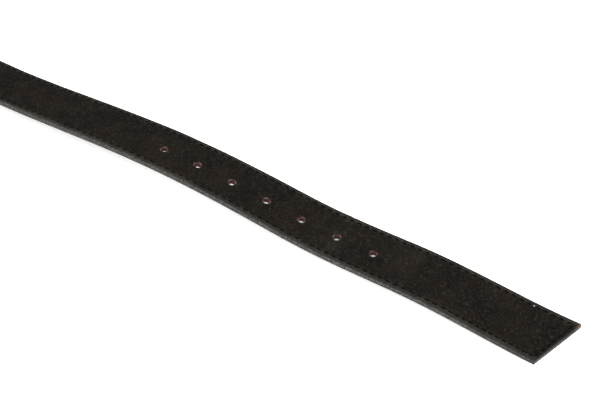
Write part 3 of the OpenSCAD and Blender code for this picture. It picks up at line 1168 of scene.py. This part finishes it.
def stitch_tree():
    """Lays one stitch at each point of a guide, turned along the seam, its two ends sunk into the leather."""
    tree = bpy.data.node_groups.new("Stitch Run", "GeometryNodeTree")
    face = tree.interface
    face.new_socket("Guide", in_out="INPUT", socket_type="NodeSocketGeometry")
    sockets = {"Guide": None}
    for name, kind in (
        ("Stitch Length", "NodeSocketFloat"), ("Thread Width", "NodeSocketFloat"),
        ("Sink", "NodeSocketFloat"), ("Seed", "NodeSocketInt"), ("Thread", "NodeSocketMaterial"),
    ):
        sockets[name] = face.new_socket(name, in_out="INPUT", socket_type=kind)
    face.new_socket("Stitches", in_out="OUTPUT", socket_type="NodeSocketGeometry")
    given = node(tree, "NodeGroupInput").outputs
    half = node(tree, "ShaderNodeMath", {0: given["Stitch Length"], 1: 0.5}, operation="MULTIPLY").outputs[0]
    minus = node(
        tree, "ShaderNodeMath", {0: given["Stitch Length"], 1: -0.5}, operation="MULTIPLY"
    ).outputs[0]
    sunk = node(tree, "ShaderNodeMath", {0: given["Sink"], 1: -1.0}, operation="MULTIPLY").outputs[0]
    handle = node(
        tree, "ShaderNodeMath", {0: given["Stitch Length"], 1: 0.42}, operation="MULTIPLY"
    ).outputs[0]
    handle_minus = node(
        tree, "ShaderNodeMath", {0: given["Stitch Length"], 1: -0.42}, operation="MULTIPLY"
    ).outputs[0]
    raised = node(tree, "ShaderNodeMath", {0: given["Sink"], 1: 0.45}, operation="MULTIPLY").outputs[0]
    ends = [
        node(tree, "ShaderNodeCombineXYZ", {"X": x, "Z": z}).outputs[0]
        for x, z in ((minus, sunk), (handle_minus, raised), (handle, raised), (half, sunk))
    ]
    line = node(
        tree, "GeometryNodeCurvePrimitiveBezierSegment",
        {"Resolution": 8, "Start": ends[0], "Start Handle": ends[1], "End Handle": ends[2], "End": ends[3]},
    )
    radius = node(tree, "ShaderNodeMath", {0: given["Thread Width"], 1: 0.5}, operation="MULTIPLY").outputs[0]
    round_wire = node(tree, "GeometryNodeCurvePrimitiveCircle", {"Resolution": 6, "Radius": radius})
    thread = node(
        tree, "GeometryNodeCurveToMesh",
        {"Curve": line.outputs["Curve"], "Profile Curve": round_wire.outputs["Curve"], "Fill Caps": True},
    )
    along = node(
        tree, "GeometryNodeInputNamedAttribute", {"Name": "along"}, data_type="FLOAT_VECTOR"
    ).outputs["Attribute"]
    outward = node(
        tree, "GeometryNodeInputNamedAttribute", {"Name": "outward"}, data_type="FLOAT_VECTOR"
    ).outputs["Attribute"]
    turned = node(tree, "FunctionNodeAlignRotationToVector", {"Vector": along}, axis="X")
    stood = node(
        tree, "FunctionNodeAlignRotationToVector",
        {"Rotation": turned.outputs["Rotation"], "Vector": outward}, axis="Z", pivot_axis="X",
    )
    low, high = (0.76, 0.86, 0.8), (1.05, 1.1, 1.1)
    loose = node(
        tree, "FunctionNodeRandomValue", {0: low, 1: high, "Seed": given["Seed"]}, data_type="FLOAT_VECTOR"
    )
    spots = node(tree, "GeometryNodeMeshToPoints", {"Mesh": given["Guide"]})
    set_in = node(
        tree, "GeometryNodeInstanceOnPoints",
        {
            "Points": spots.outputs["Points"], "Instance": thread.outputs["Mesh"],
            "Rotation": stood.outputs["Rotation"], "Scale": loose.outputs[0],
        },
    )
    real = node(tree, "GeometryNodeRealizeInstances", {"Geometry": set_in.outputs["Instances"]})
    smoothed = node(tree, "GeometryNodeSetShadeSmooth", {"Geometry": real.outputs["Geometry"]})
    dyed = node(
        tree, "GeometryNodeSetMaterial",
        {"Geometry": smoothed.outputs["Geometry"], "Material": given["Thread"]},
    )
    node(tree, "NodeGroupOutput", {"Stitches": dyed.outputs["Geometry"]})
    return tree, sockets


def seam_guide(path, stitch, name, end, k, sides=1):
    """Points at the middle of every stitch down both edges and across the tip."""
    edge, inset, pitch = path.half - stitch.inset / MM, stitch.inset / MM, stitch.pitch / MM
    s, w, ahead_s, ahead_w = [], [], [], []
    count = int((end - inset) / pitch)
    for side in (-1, 1):
        for i in range(count):
            s.append(inset + (i + 0.5) * pitch)
            w.append(side * edge)
            ahead_s.append(1.0)
            ahead_w.append(0.0)
    tip_count = 7
    for i in range(tip_count):
        s.append(inset)
        w.append(-edge + (i + 0.5) * 2 * edge / tip_count)
        ahead_s.append(0.0)
        ahead_w.append(1.0)
    s, w, ahead_s, ahead_w = (np.array(a) for a in (s, w, ahead_s, ahead_w))
    laid = path.place(path.slanted(s, w), w, k)
    ahead = path.place(
        path.slanted(s + 0.4 * ahead_s, w + 0.4 * ahead_w), w + 0.4 * ahead_w, k
    ) - path.place(path.slanted(s - 0.4 * ahead_s, w - 0.4 * ahead_w), w - 0.4 * ahead_w, k)
    _, out = path.directions(path.slanted(s, w), w, np.full(len(s), k))
    mesh = bpy.data.meshes.new(name)
    mesh.from_pydata([tuple(p) for p in laid], [], [])
    for key, values in (("along", ahead), ("outward", out * sides)):
        layer = mesh.attributes.new(key, "FLOAT_VECTOR", "POINT")
        values = values / np.linalg.norm(values, axis=1, keepdims=True)
        layer.data.foreach_set("vector", values.astype(np.float32).ravel())
    guide = bpy.data.objects.new(name, mesh)
    bpy.context.scene.collection.objects.link(guide)
    return guide


class BELT_OT_stitching(bpy.types.Operator):
    """Stitch round the strap's face and its back"""

    bl_idname = "belt.stitching"
    bl_label = "Stitching"

    def execute(self, context):
        stitch = context.scene.belt_stitch
        path = belt_path(context)
        tree, sockets = stitch_tree()
        thread = waxed_thread(stitch.thread)
        runs = (
            ("face_stitches", "face_thread", path.length - path.skive[0] - 2, path.thick - 0.1, 1, 11),
            ("lining_stitches", "lining_thread", path.length - path.turn_back - 2, 0.1, -1, 23),
        )
        for name, stands_for, end, k, side, seed in runs:
            guide = seam_guide(path, stitch, name, end, k, side)
            modifier = guide.modifiers.new("Stitches", "NODES")
            modifier.node_group = tree
            values = {
                "Stitch Length": stitch.pitch - stitch.gap, "Thread Width": stitch.width, "Sink": 0.0006,
                "Seed": seed, "Thread": thread,
            }
            for key, value in values.items():
                modifier[sockets[key].identifier] = value
            made = baked(guide)
            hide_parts(stands_for)
            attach(made, "strap")
        return {"FINISHED"}


# ---------------------------------------------------------------------------
# Buckle
# ---------------------------------------------------------------------------


def arch_y(metal, x):
    """The frame's middle line seen from its end: an arc from the bar to the crown."""
    crown, bulge = 30.0, metal.bulge / MM
    middle = (crown * crown - bulge * bulge) / (2 * bulge)
    return middle - math.sqrt((middle + bulge) ** 2 - (x - crown) ** 2)


class BELT_OT_buckle(bpy.types.Operator):
    """Cast the buckle's frame and turn its heel bar"""

    bl_idname = "belt.buckle"
    bl_label = "Buckle frame and bar"

    def execute(self, context):
        metal = context.scene.belt_metal
        path = belt_path(context)
        nickel = satin_nickel(metal.nickel)
        band, thick, reach = metal.band / MM, metal.thick / MM, metal.reach / MM
        high = 2 * path.bar_z
        mid, corner = band / 2, 4.5
        line = [(x, mid) for x in np.linspace(0.4, reach - mid - corner, 34)]
        line += [
            (reach - mid - corner + corner * math.sin(a), mid + corner - corner * math.cos(a))
            for a in np.linspace(0, math.pi / 2, 12)[1:]
        ]
        line += [(reach - mid, z) for z in np.linspace(mid + corner, high - mid - corner, 60)[1:-1]]
        line += [(x, high - z) for x, z in line[: 34 + 11]][::-1]
        section = rounded_section(band, thick, 1.15, 5)
        stations = []
        for i, (x, z) in enumerate(line):
            x0, z0 = line[max(i - 1, 0)]
            x1, z1 = line[min(i + 1, len(line) - 1)]
            y = arch_y(metal, x)
            slope = (arch_y(metal, x + 0.01) - arch_y(metal, x - 0.01)) / 0.02
            ahead = Vector((x1 - x0, slope * (x1 - x0), z1 - z0)).normalized()
            up = Vector((slope, -1.0, 0.0)).normalized()
            side = ahead.cross(up).normalized()
            up = side.cross(ahead).normalized()
            stations.append(((x, y, z), side, up, (1.0, 1.0)))
        points, faces = sweep(stations, section)
        # The front bar's face is filed down where the prong lies
        filed = []
        for p in points:
            x, y, z = (c / MM for c in p)
            if x > reach - band - 0.5:
                depth = (0.8 + 0.5) * (1 - smooth((abs(z - path.bar_z) - 1.9) / 1.2))
                front = arch_y(metal, x) - thick / 2
                y = max(y, front + depth) if y < arch_y(metal, x) else y
            filed.append((x * MM, y * MM, z * MM))
        ear = [
            (0, 0), (1.9, 0), (2.3, 0.15), (2.5, 0.5), (2.5, band - 0.5), (2.3, band - 0.15), (1.9, band),
            (0, band),
        ]
        low, ear_faces = lathe(ear, 40)
        shapes = [(filed, faces), (low, ear_faces), (low + np.array((0, 0, (high - band) * MM)), ear_faces)]
        piece = mesh_object("buckle_casting", *joined(shapes), [nickel])
        piece = cast_shape(piece, 0.00032, 5)
        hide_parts("buckle_frame")
        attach(piece, "buckle")

        radius = metal.bar / MM / 2
        bar = [
            (0, 0), (radius - 0.3, 0), (radius, 0.3), (radius, high - 2 * band / 3 - 0.3),
            (radius - 0.3, high - 2 * band / 3), (0, high - 2 * band / 3),
        ]
        points, faces = lathe(bar, 40)
        piece = mesh_object(
            "heel_bar_steel", points + np.array((0, 0, band / 3 * MM)), faces, [drawn_steel(metal.steel)]
        )
        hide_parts("heel_bar")
        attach(piece, "buckle")
        return {"FINISHED"}


class BELT_OT_prong(bpy.types.Operator):
    """Cast the prong with its eye around the heel bar"""

    bl_idname = "belt.prong"
    bl_label = "Prong"

    def execute(self, context):
        metal = context.scene.belt_metal
        path = belt_path(context)
        nickel = satin_nickel(metal.nickel)
        crown, wide, thick = 30.0, 3.2, 2.2
        rise = metal.bulge / MM + metal.thick / MM / 2 - 0.75 + thick / 2
        middle = (crown * crown - rise * rise) / (2 * rise)
        radius = middle + rise
        tip = metal.reach / MM + 2
        stations = []
        for x in np.concatenate(
            [np.linspace(2.4, tip - 6, 40), tip - 6 + 6 * np.sin(np.linspace(0, math.pi / 2, 14)[1:])]
        ):
            y = middle - math.sqrt(radius * radius - (x - crown) ** 2)
            slope = (x - crown) / math.sqrt(radius * radius - (x - crown) ** 2)
            up = Vector((slope, -1.0, 0.0)).normalized()
            u = max(0.0, (x - tip + 6) / 6)
            narrow = math.sqrt(max(1 - u**2.6, 0.0)) * 0.9 + 0.1
            stations.append(
                (
                    (x, y, path.bar_z), Vector((0, 0, 1)), up,
                    (narrow * (1 - 0.12 * smooth((x - 8) / 26)), 0.35 + 0.65 * narrow),
                )
            )
        blade = sweep(stations, rounded_section(wide, thick, 0.85, 5))
        inner, outer = metal.bar / MM / 2 + 0.08, 4.05
        eye = [
            (inner, 0.25), (inner + 0.25, 0), (outer - 0.5, 0), (outer - 0.12, 0.15), (outer, 0.5),
            (outer, wide - 0.5), (outer - 0.12, wide - 0.15), (outer - 0.5, wide), (inner + 0.25, wide),
            (inner, wide - 0.25), (inner, 0.25),
        ]
        points, faces = lathe(eye[:-1], 48)
        n = len(eye) - 1
        faces += [((n - 1) * 48 + i, (n - 1) * 48 + (i + 1) % 48, (i + 1) % 48, i) for i in range(48)]
        eye_shape = (points + np.array((0, 0, (path.bar_z - wide / 2) * MM)), faces)
        piece = mesh_object("prong_casting", *joined([blade, eye_shape]), [nickel])
        piece = cast_shape(piece, 0.00022, 3)
        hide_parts("prong")
        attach(piece, "prong")
        return {"FINISHED"}


# ---------------------------------------------------------------------------
# Keepers
# ---------------------------------------------------------------------------


def keeper_line(front, back, low, high, radius, joint):
    """The loop that a keeper's ply follows round the strap, from one side of its butt joint to the other,
    as (y, z, outward y, outward z).
    """
    corners = (((back, high), 0.0), ((front, high), 90.0), ((front, low), 180.0), ((back, low), 270.0))
    middle_z = (low + high) / 2
    line = [(back, z, 1.0, 0.0) for z in np.linspace(middle_z + joint / 2, high - radius, 12)]
    for (y, z), start in corners:
        cy = y + (radius if y == front else -radius)
        cz = z + (radius if z == low else -radius)
        for a in np.radians(np.linspace(start, start + 90, 8)):
            line.append((cy + radius * math.cos(a), cz + radius * math.sin(a), math.cos(a), math.sin(a)))
        if start == 90.0:
            line += [(front, z2, -1.0, 0.0) for z2 in np.linspace(high - radius, low + radius, 26)[1:-1]]
    line += [(back, z, 1.0, 0.0) for z in np.linspace(low + radius, middle_z - joint / 2, 12)]
    return line


def keeper_ply(name, x, width, line, thick, materials, sway):
    """One ply of a keeper, with two creased lines pressed near its edges if it is the outer one."""
    half = width / 2
    across = [
        -half + 0.3, -half + 0.9, -half + 1.15, -half + 1.4, -half + 2.0, -half / 2, 0.0, half / 2,
        half - 2.0, half - 1.4, half - 1.15, half - 0.9, half - 0.3,
    ]
    creased = [0.0, 0.0, -0.16, 0.0, 0.05, 0.08, 0.1, 0.08, 0.05, 0.0, -0.16, 0.0, 0.0]
    section = [(a, thick + (c if sway else 0.0)) for a, c in zip(across, creased)]
    section += [
        (half - 0.1, thick - 0.12), (half, thick - 0.32), (half, 0.25), (half - 0.1, 0.05),
        (half - 0.3, 0.0),
    ]
    section += [
        (0.0, 0.0), (-half + 0.3, 0.0), (-half + 0.1, 0.05), (-half, 0.25), (-half, thick - 0.32),
        (-half + 0.1, thick - 0.12),
    ]
    stations = []
    for y, z, out_y, out_z in line:
        drift = 0.12 * math.sin(z * 0.35 + x) * sway
        stations.append(((x + half + drift, y, z), (1, 0, 0), (0, out_y, out_z), (1.0, 1.0)))
    points, faces = sweep(stations, section)
    m = len(section)
    zones = [0 if j < len(across) else 1 for j in range(m)] * (len(line) - 1) + [1, 1]
    wear = np.tile([0.5 if abs(a) > half - 0.95 else 0.05 for a, _ in section], len(line))
    return mesh_object(name, points, faces, materials, zones, {"wear": wear, "scuff": 0 * wear})


def staple_shape(x, back, thick, bar_z, wire=0.4):
    """A wire staple: two legs through both plies and a crown across the joint."""
    y0, y1 = back + 0.15, back + thick + wire * 0.4
    bend = 0.5
    line = [(y0, -3.0), (y1 - bend, -3.0)]
    line += [
        (y1 - bend + bend * math.sin(a), -3.0 + bend - bend * math.cos(a))
        for a in np.linspace(0, math.pi / 2, 6)[1:]
    ]
    line += [(y1, 3.0 - bend)]
    line += [
        (y1 - bend + bend * math.cos(a), 3.0 - bend + bend * math.sin(a))
        for a in np.linspace(0, math.pi / 2, 6)[1:]
    ]
    line += [(y0, 3.0)]
    stations = []
    for i, (y, z) in enumerate(line):
        a, b = line[max(i - 1, 0)], line[min(i + 1, len(line) - 1)]
        ahead = Vector((0, b[0] - a[0], b[1] - a[1])).normalized()
        side = Vector((1, 0, 0))
        stations.append(((x, y, bar_z + z), side, ahead.cross(side), (1, 1)))
    ring = [(wire * math.cos(2 * math.pi * i / 12), wire * math.sin(2 * math.pi * i / 12)) for i in range(12)]
    return sweep(stations, ring)


class BELT_OT_keepers(bpy.types.Operator):
    """Wrap the fixed and the sliding keeper round the strap and staple them"""

    bl_idname = "belt.keepers"
    bl_label = "Keepers"

    def execute(self, context):
        strap, metal = context.scene.belt_strap, context.scene.belt_metal
        path = belt_path(context)
        suede, back_leather = brushed_suede(strap.suede), lining_leather(strap.back)
        edge, steel = painted_edge(strap.edge), drawn_steel(metal.steel)
        ply, width, joint = 0.9, 12.0, 0.3
        front = path.arm_y - path.thick / 2 - 5.0
        low, high = path.bar_z - path.half - 0.5, path.bar_z + path.half + 0.5
        backs = {"fixed": -path.fold + path.thread_room + 0.1, "sliding": -path.fold + 0.6}
        bodies = {"fixed": "strap", "sliding": "sliding_keeper"}
        for kind, x in KEEPER_PLACES.items():
            back, body = backs[kind], bodies[kind]
            inner = keeper_ply(
                f"{kind}_keeper_inner_ply", x, width, keeper_line(front, back, low, high, 1.2, joint),
                ply - 0.01, [back_leather, edge], 0,
            )
            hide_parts(f"{kind}_keeper_lining")
            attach(inner, body)
            outer_line = keeper_line(front - ply, back + ply, low - ply, high + ply, 1.2 + ply, joint)
            outer = keeper_ply(f"{kind}_keeper_suede", x, width, outer_line, ply, [suede, edge], 1)
            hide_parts(f"{kind}_keeper_face")
            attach(outer, body)
            staple = mesh_object(
                f"{kind}_keeper_wire_staple", *staple_shape(x + width / 2, back, 2 * ply, path.bar_z),
                [steel],
            )
            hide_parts(f"{kind}_keeper_staple")
            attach(staple, body)
        return {"FINISHED"}


# ---------------------------------------------------------------------------
# Screw posts
# ---------------------------------------------------------------------------


class BELT_OT_screws(bpy.types.Operator):
    """Turn the screw posts and slotted screws that hold the turn-back"""

    bl_idname = "belt.screws"
    bl_label = "Screw posts"

    def execute(self, context):
        metal = context.scene.belt_metal
        path = belt_path(context)
        nickel = satin_nickel(metal.nickel)
        front = path.arm_y - path.thick / 2
        back = path.face + path.lining + 0.05 - path.fold
        shaft = back - 0.2 - front
        for place, x in POST_PLACES.items():
            head = [
                (0, -1.6), (1.8, -1.56), (3.2, -1.38), (4.2, -0.98), (4.6, -0.6), (4.75, -0.25),
                (4.65, 0.0), (2.5, 0.0), (2.5, shaft), (2.3, shaft + 0.05), (1.5, shaft + 0.05), (1.5, 1.0),
                (0, 1.0),
            ]
            points, faces = lathe(head, 56)
            points = np.stack(
                [points[:, 0] + x * MM, points[:, 2] + front * MM, points[:, 1] + path.bar_z * MM], -1
            )
            post = mesh_object(f"{place}_post_nickel", points, faces, [nickel], sharp=50)
            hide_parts(f"{place}_post")
            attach(post, "strap")

            top = 1.3
            dome = [
                (0, top), (1.5, top - 0.04), (2.7, top - 0.18), (3.55, top - 0.45), (4.0, top - 0.85),
                (4.2, 0.2), (4.1, 0.0), (1.5, 0.0), (1.5, -(back - front - 1.7)),
                (0, -(back - front - 1.7)),
            ]
            points, faces = lathe(dome, 56)
            points = np.stack(
                [points[:, 0] + x * MM, points[:, 2] + back * MM, points[:, 1] + path.bar_z * MM], -1
            )
            screw = mesh_object(f"{place}_screw_nickel", points, faces, [nickel], sharp=50)
            half = np.array((0.5, 0.6, 7.0)) * MM
            corners = [(sx, sy, sz) for sx in (-1, 1) for sy in (-1, 1) for sz in (-1, 1)]
            box_points = [np.array((x, back + top, path.bar_z)) * MM + half * np.array(c) for c in corners]
            box_faces = [(0, 1, 3, 2), (4, 6, 7, 5), (0, 4, 5, 1), (2, 3, 7, 6), (0, 2, 6, 4), (1, 5, 7, 3)]
            cutter = mesh_object("driver_slot", box_points, box_faces, [nickel])
            slot = screw.modifiers.new("Slot", "BOOLEAN")
            slot.operation, slot.solver, slot.object = "DIFFERENCE", "EXACT", cutter
            screw = baked(screw)
            bpy.data.objects.remove(cutter)
            screw.data.set_sharp_from_angle(angle=math.radians(40))
            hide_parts(f"{place}_screw")
            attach(screw, "strap")
        return {"FINISHED"}


# ---------------------------------------------------------------------------
# Stage
# ---------------------------------------------------------------------------


class BELT_OT_stage(bpy.types.Operator):
    """Set up the table, the soft lamps and the camera"""

    bl_idname = "belt.stage"
    bl_label = "Table, lamps and camera"

    def execute(self, context):
        scene, stage = context.scene, context.scene.belt_stage
        size, steps = 3.0, 24
        grid = np.linspace(-size, size, steps + 1)
        points = [(x, y, 0.0) for x in grid for y in grid]
        faces = [
            (
                i * (steps + 1) + j, (i + 1) * (steps + 1) + j, (i + 1) * (steps + 1) + j + 1,
                i * (steps + 1) + j + 1,
            )
            for i in range(steps)
            for j in range(steps)
        ]
        table = mesh_object("table_top", points, faces, [light_table(stage.table)])
        if table.data.polygons[0].normal.z < 0:
            table.data.flip_normals()

        world = bpy.data.worlds.new("Studio")
        world.use_nodes = True
        sky = world.node_tree.nodes["Background"]
        toward = node(world.node_tree, "ShaderNodeTexCoord").outputs["Generated"]
        up = node(world.node_tree, "ShaderNodeSeparateXYZ", {"Vector": toward}).outputs["Z"]
        dome = node(
            world.node_tree, "ShaderNodeMapRange",
            {"Value": up, "From Max": 0.5, "To Min": 0.3, "To Max": 1.45},
        )
        world.node_tree.links.new(dome.outputs["Result"], sky.inputs["Strength"])
        sky.inputs["Color"].default_value = (1.0, 1.0, 1.0, 1.0)
        scene.world = world
        target = Vector(stage.target)
        lamps = (
            ("overhead_softbox", (0.15, 0.1, 1.5), 1.3, 19.0),
            ("front_softbox", (0.75, -1.1, 0.75), 0.9, 9.0),
            ("back_softbox", (-0.2, 1.5, 0.8), 0.9, 6.0),
        )
        for name, where, width, power in lamps:
            light = bpy.data.lights.new(name, "AREA")
            light.shape = "SQUARE"
            light.size = width
            light.energy = power
            lamp = bpy.data.objects.new(name, light)
            lamp.location = where
            lamp.rotation_euler = (target - Vector(where)).to_track_quat("-Z", "Y").to_euler()
            scene.collection.objects.link(lamp)

        e, a = stage.elevation, stage.azimuth
        look = Vector((-math.sin(a) * math.cos(e), math.cos(a) * math.cos(e), -math.sin(e)))
        camera = bpy.data.cameras.new("camera")
        camera.lens = stage.lens
        camera.sensor_width = 36.0
        camera.clip_start, camera.clip_end = 0.01, 20.0
        eye = bpy.data.objects.new("camera", camera)
        eye.location = target - look * stage.distance
        eye.rotation_euler = look.to_track_quat("-Z", "Y").to_euler()
        scene.collection.objects.link(eye)
        scene.camera = eye
        scene.view_settings.view_transform = "Standard"
        return {"FINISHED"}


# ---------------------------------------------------------------------------
# Panel and start
# ---------------------------------------------------------------------------


class BELT_PT_tools(bpy.types.Panel):
    """Lists the belt's pieces and their sizes"""

    bl_idname = "BELT_PT_tools"
    bl_label = "Suede Belt"
    bl_space_type = "VIEW_3D"
    bl_region_type = "UI"
    bl_category = "Belt"

    def draw(self, context):
        groups = (
            (context.scene.belt_stage, (BELT_OT_stage,)),
            (context.scene.belt_strap, (BELT_OT_strap,)),
            (context.scene.belt_stitch, (BELT_OT_stitching,)),
            (context.scene.belt_metal, (BELT_OT_buckle, BELT_OT_prong, BELT_OT_keepers, BELT_OT_screws)),
        )
        for settings, operators in groups:
            box = self.layout.box()
            for key in settings.__annotations__:
                box.prop(settings, key)
            for operator in operators:
                box.operator(operator.bl_idname)


SETTINGS = {
    "belt_strap": BeltStrapSettings, "belt_stitch": BeltStitchSettings, "belt_metal": BeltMetalSettings,
    "belt_stage": BeltStageSettings,
}
OPERATORS = (
    BELT_OT_stage, BELT_OT_strap, BELT_OT_stitching, BELT_OT_buckle, BELT_OT_prong, BELT_OT_keepers,
    BELT_OT_screws,
)


def register():
    for name, group in SETTINGS.items():
        bpy.utils.register_class(group)
        setattr(bpy.types.Scene, name, PointerProperty(type=group))
    for operator in OPERATORS:
        bpy.utils.register_class(operator)
    bpy.utils.register_class(BELT_PT_tools)


def unregister():
    bpy.utils.unregister_class(BELT_PT_tools)
    for operator in reversed(OPERATORS):
        bpy.utils.unregister_class(operator)
    for name, group in reversed(SETTINGS.items()):
        delattr(bpy.types.Scene, name)
        bpy.utils.unregister_class(group)


def main():
    register()
    bpy.ops.belt.stage()
    bpy.ops.belt.strap()
    bpy.ops.belt.stitching()
    bpy.ops.belt.buckle()
    bpy.ops.belt.prong()
    bpy.ops.belt.keepers()
    bpy.ops.belt.screws()


if __name__ == "__main__":
    main()
